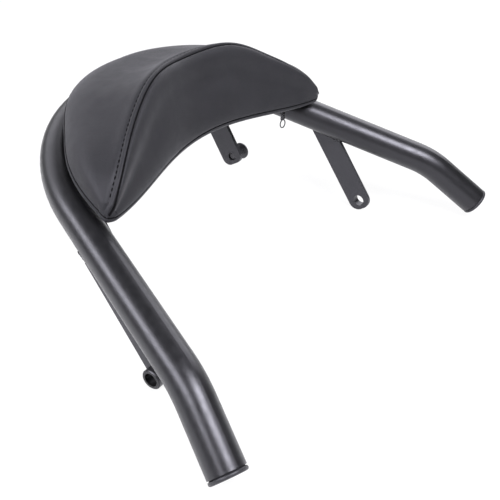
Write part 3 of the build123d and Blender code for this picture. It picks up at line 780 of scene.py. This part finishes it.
def leather(name, dark, light):
    """Artificial leather: a warped cell grain with soft patches of tone and gloss."""
    cell_scale, warp_scale, warp_by = 780, 300, 0.0012
    patch, gloss, swell = 35, 90, 45
    grain_share = 0.5
    m, nt, bsdf, coord = material(name, dark, 0.56, Specular_IOR_Level=0.27, Specular_Tint=COOL,
                                  Sheen_Weight=0.08, Sheen_Roughness=0.4, Sheen_Tint=COOL_SHEEN)
    warp_noise = nt.nodes.new("ShaderNodeTexNoise")
    warp_noise.inputs["Scale"].default_value = warp_scale
    nt.links.new(coord.outputs["Object"], warp_noise.inputs["Vector"])
    warp = nt.nodes.new("ShaderNodeVectorMath")
    warp.operation = "MULTIPLY_ADD"
    nt.links.new(warp_noise.outputs["Color"], warp.inputs[0])
    warp.inputs[1].default_value = (warp_by, warp_by, warp_by)
    nt.links.new(coord.outputs["Object"], warp.inputs[2])
    cells = nt.nodes.new("ShaderNodeTexVoronoi")
    cells.feature = "DISTANCE_TO_EDGE"
    cells.inputs["Scale"].default_value = cell_scale
    nt.links.new(warp.outputs["Vector"], cells.inputs["Vector"])
    grain = ramp(nt, cells.outputs["Distance"], 0.0, 1.0, 0.0, 0.28)
    tone = nt.nodes.new("ShaderNodeMath")
    tone.operation = "MULTIPLY_ADD"
    nt.links.new(grain, tone.inputs[0])
    tone.inputs[1].default_value = grain_share
    nt.links.new(ramp(nt, noise(nt, coord, patch), 0.0, 1 - grain_share), tone.inputs[2])
    nt.links.new(shade(nt, tone.outputs["Value"], dark, light), bsdf.inputs["Base Color"])
    nt.links.new(ramp(nt, noise(nt, coord, gloss), 0.52, 0.62), bsdf.inputs["Roughness"])
    fine = relief(nt, bsdf, grain, 0.0002, 0.35)
    relief(nt, bsdf, noise(nt, coord, swell, 2.0), 0.0012, 0.05, fine)
    return m


# Each surface: dark and light colour, roughness, specular level
frame_mat = grained("satin_powder_coat", (0.0045, 0.0045, 0.005), (0.007, 0.007, 0.0076), 0.34, 0.5)
# Painted light: the straps get the frame's black coat made about three times lighter, for light on their flat
# faces
strap_mat = grained("satin_coat_painted_light", (0.014, 0.014, 0.0158), (0.02, 0.02, 0.0225), 0.4, 0.5)
weld_mat = grained("coated_weld", (0.006, 0.006, 0.0066), (0.012, 0.012, 0.013), 0.24, 0.6)
plug_mat = grained("matt_plastic", (0.010, 0.010, 0.011), (0.016, 0.016, 0.0175), 0.45, 0.45)
bolt_mat = grained("black_oxide", (0.03, 0.03, 0.032), (0.05, 0.05, 0.052), 0.36, 0.5)
zip_mat = grained("zip_lacquer", (0.012, 0.012, 0.012), (0.02, 0.02, 0.02), 0.35, 0.45)
cover_mat = leather("grained_cover", (0.0075, 0.0075, 0.0085), (0.0118, 0.0118, 0.0133))
# Dark thread for the stitches, also used for the seam cords, where its near-black dull colour is painted
# shade
thread_and_seam_shade_mat = grained("thread_and_seam_shade", (0.0015, 0.0015, 0.0016), (0.004, 0.004, 0.0042), 0.8, 0.05)
# Painted shade: the lugs' coat is near black and dull, darker than the frame's coat, for the shade in the gap
# between the pad and the tube
lug_mat = grained("matt_coat_painted_shade", (0.003, 0.003, 0.0032), (0.005, 0.005, 0.0054), 0.6, 0.2)
teeth_mat = grained("moulded_teeth", (0.012, 0.012, 0.013), (0.022, 0.022, 0.024), 0.4, 0.45)
tape_mat = grained("woven_tape", (0.012, 0.012, 0.012), (0.025, 0.025, 0.025), 0.8, 0.15)
board_mat = grained("plywood", (0.28, 0.19, 0.10), (0.42, 0.30, 0.17), 0.6, 0.3)
brass_mat = grained("brass", (0.5, 0.36, 0.12), (0.62, 0.46, 0.18), 0.35, 0.5)
brass_mat.node_tree.nodes["Principled BSDF"].inputs["Metallic"].default_value = 1.0
foam_mat = grained("foam", (0.2, 0.2, 0.21), (0.3, 0.3, 0.31), 0.9, 0.1)


def paint(ob, mat):
    ob.data.materials.clear()
    ob.data.materials.append(mat)


NODE_MATERIALS = {
    "bow_tube": frame_mat, "front_tab_left": strap_mat, "front_tab_right": strap_mat,
    "front_bush_left": frame_mat, "front_bush_right": frame_mat,
    "rear_tab_left": strap_mat, "rear_tab_right": strap_mat,
    "pad_lug_left": lug_mat, "pad_lug_centre": lug_mat, "pad_lug_right": lug_mat,
    "end_plug_left": plug_mat, "end_plug_right": plug_mat,
    "rear_bolt_left": bolt_mat, "rear_bolt_right": bolt_mat, "pad_screws": bolt_mat,
    "board_inserts": brass_mat, "base_board": board_mat, "foam_core": foam_mat,
    "cover_bottom_panel": cover_mat, "cover_front_panel": cover_mat, "cover_rear_panel": cover_mat,
    "zip_tape": tape_mat, "zip_chain": zip_mat, "zip_slider": zip_mat, "zip_pull": zip_mat,
}
for node, mat in NODE_MATERIALS.items():
    paint(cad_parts[node], mat)

# Pieces: materials, bodies, slots and the nodes that they stand for
for ob, slot, mat in (
    (pad_top, "cover", cover_mat), (pad_band, "cover", cover_mat), (stitches, "cover", thread_and_seam_shade_mat),
    (ridge_seam_shade, "cover", thread_and_seam_shade_mat), (lower_seam_shade, "cover", thread_and_seam_shade_mat),
):
    paint(ob, mat)
    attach(ob, BODY)
for ob in plugs:
    paint(ob, plug_mat)
    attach(ob, BODY)
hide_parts("end_plug_left")
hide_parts("end_plug_right")
paint(teeth, teeth_mat)
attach(teeth, BODY)
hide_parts("zip_chain")
paint(pull, zip_mat)
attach(pull, "zip_pull")
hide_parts("zip_pull")
# The lugs and their welds get the coat with painted shade
for ob, label in zip(lugs, ("left", "centre", "right")):
    paint(ob, lug_mat)
    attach(ob, BODY)
    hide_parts("pad_lug_" + label)
for ob in welds:
    paint(ob, weld_mat)
    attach(ob, BODY)
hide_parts("cover_front_panel", "cover_rear_panel", "foam_core")
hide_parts("cover_bottom_panel", "base_board")

# Studio: white floor and backdrop, soft light
WHITE = (1, 1, 1, 1)
FLOOR_COLOR = (0.86, 0.86, 0.86, 1)
FLOOR_SIZE, FLOOR_GAP = 80, 0.0005
FLOOR_SEEN, FLOOR_MIRRORED = 0.88, 0.4
WORLD_LIGHT = 0.08
# A band of the backdrop over the horizon is mirrored: its share and the heights over which it fades
BAND_SHARE, BAND_FULL, BAND_GONE = 0.25, 0.15, 0.42
LIGHT_COLOR = (0.955, 0.95, 1.0)


def white_for_view(nt, lit, white, seen, mirrored):
    """The lit shader, with a share of white in what the camera sees and in what is mirrored."""
    path = nt.nodes.new("ShaderNodeLightPath")

    def math_node(kind, x, y):
        n = nt.nodes.new("ShaderNodeMath")
        n.operation = kind
        nt.links.new(x, n.inputs[0])
        if isinstance(y, float):
            n.inputs[1].default_value = y
        else:
            nt.links.new(y, n.inputs[1])
        return n.outputs["Value"]

    bounced = math_node("MAXIMUM", path.outputs["Is Glossy Ray"], path.outputs["Is Transmission Ray"])
    share = math_node("MAXIMUM", math_node("MULTIPLY", path.outputs["Is Camera Ray"], seen),
                      math_node("MULTIPLY", bounced, mirrored))
    m = nt.nodes.new("ShaderNodeMixShader")
    nt.links.new(share, m.inputs["Fac"])
    nt.links.new(lit, m.inputs[1])
    nt.links.new(white, m.inputs[2])
    return m.outputs["Shader"]


world = bpy.data.worlds.new("studio")
bpy.context.scene.world = world
world.use_nodes = True
nt = world.node_tree
dim = nt.nodes["Background"]
dim.inputs["Color"].default_value = WHITE
dim.inputs["Strength"].default_value = WORLD_LIGHT
backdrop = nt.nodes.new("ShaderNodeBackground")
backdrop.inputs["Color"].default_value = WHITE
backdrop.inputs["Strength"].default_value = 1.0
sky = nt.nodes.new("ShaderNodeTexCoord")
split = nt.nodes.new("ShaderNodeSeparateXYZ")
nt.links.new(sky.outputs["Generated"], split.inputs["Vector"])
low_band = ramp(nt, split.outputs["Z"], BAND_SHARE, 0.0, BAND_FULL, BAND_GONE)
world_shader = white_for_view(nt, dim.outputs["Background"], backdrop.outputs["Background"], 1.0, low_band)
nt.links.new(world_shader, nt.nodes["World Output"].inputs["Surface"])

bpy.ops.mesh.primitive_plane_add(size=FLOOR_SIZE, location=(0, 0, cad_box[0][2] - FLOOR_GAP))
floor = bpy.context.object
floor.name = "studio_floor"
floor_mat = bpy.data.materials.new("white_floor")
floor_mat.use_nodes = True
nt = floor_mat.node_tree
nt.nodes.clear()
diffuse = nt.nodes.new("ShaderNodeBsdfDiffuse")
diffuse.inputs["Color"].default_value = FLOOR_COLOR
glow = nt.nodes.new("ShaderNodeEmission")
glow.inputs["Color"].default_value = WHITE
glow.inputs["Strength"].default_value = 1.0
output = nt.nodes.new("ShaderNodeOutputMaterial")
lit, white = diffuse.outputs["BSDF"], glow.outputs["Emission"]
floor_shader = white_for_view(nt, lit, white, FLOOR_SEEN, FLOOR_MIRRORED)
nt.links.new(floor_shader, output.inputs["Surface"])
paint(floor, floor_mat)


def softbox(name, place, aim, size, energy):
    """A rectangular light, in watts, aimed at a point."""
    data = bpy.data.lights.new(name, "AREA")
    data.shape = "RECTANGLE"
    data.size, data.size_y = size
    data.energy = energy
    data.color = LIGHT_COLOR
    ob = bpy.data.objects.new(name, data)
    bpy.context.scene.collection.objects.link(ob)
    ob.location = place
    ob.rotation_euler = (Vector(aim) - Vector(place)).to_track_quat("-Z", "Y").to_euler()


softbox("side_box", (-0.98, 0.39, 0.80), (0.0, 0.05, 0.08), (1.5, 0.40), 25)
softbox("front_box", (-0.20, -0.75, 1.10), (0.0, 0.0, 0.08), (0.65, 0.55), 31)
softbox("back_panel", (0.10, 1.30, 0.95), (0.0, 0.05, 0.10), (1.8, 0.9), 10)
softbox("right_panel", (1.10, 0.25, 0.72), (0.0, 0.05, 0.10), (1.3, 1.1), 14)

# Camera at the photograph's place, in the bow plane's own coordinates
CAMERA_PLACE = (-517.2, BOW_R - 400.5, 435.0)
CAMERA_DOWN, CAMERA_TURN = math.radians(32.8), math.radians(-55.74)
cam_data = bpy.data.cameras.new("camera")
cam_data.sensor_width = 36.0
cam_data.sensor_fit = "HORIZONTAL"
cam_data.lens = 55.72
cam_data.clip_start = 0.01
camera = bpy.data.objects.new("camera", cam_data)
bpy.context.scene.collection.objects.link(camera)
camera.location = Vector(to_part(CAMERA_PLACE))
camera.rotation_euler = (QUARTER - CAMERA_DOWN, 0, CAMERA_TURN)
bpy.context.scene.camera = camera
bpy.context.scene.view_settings.view_transform = "Standard"
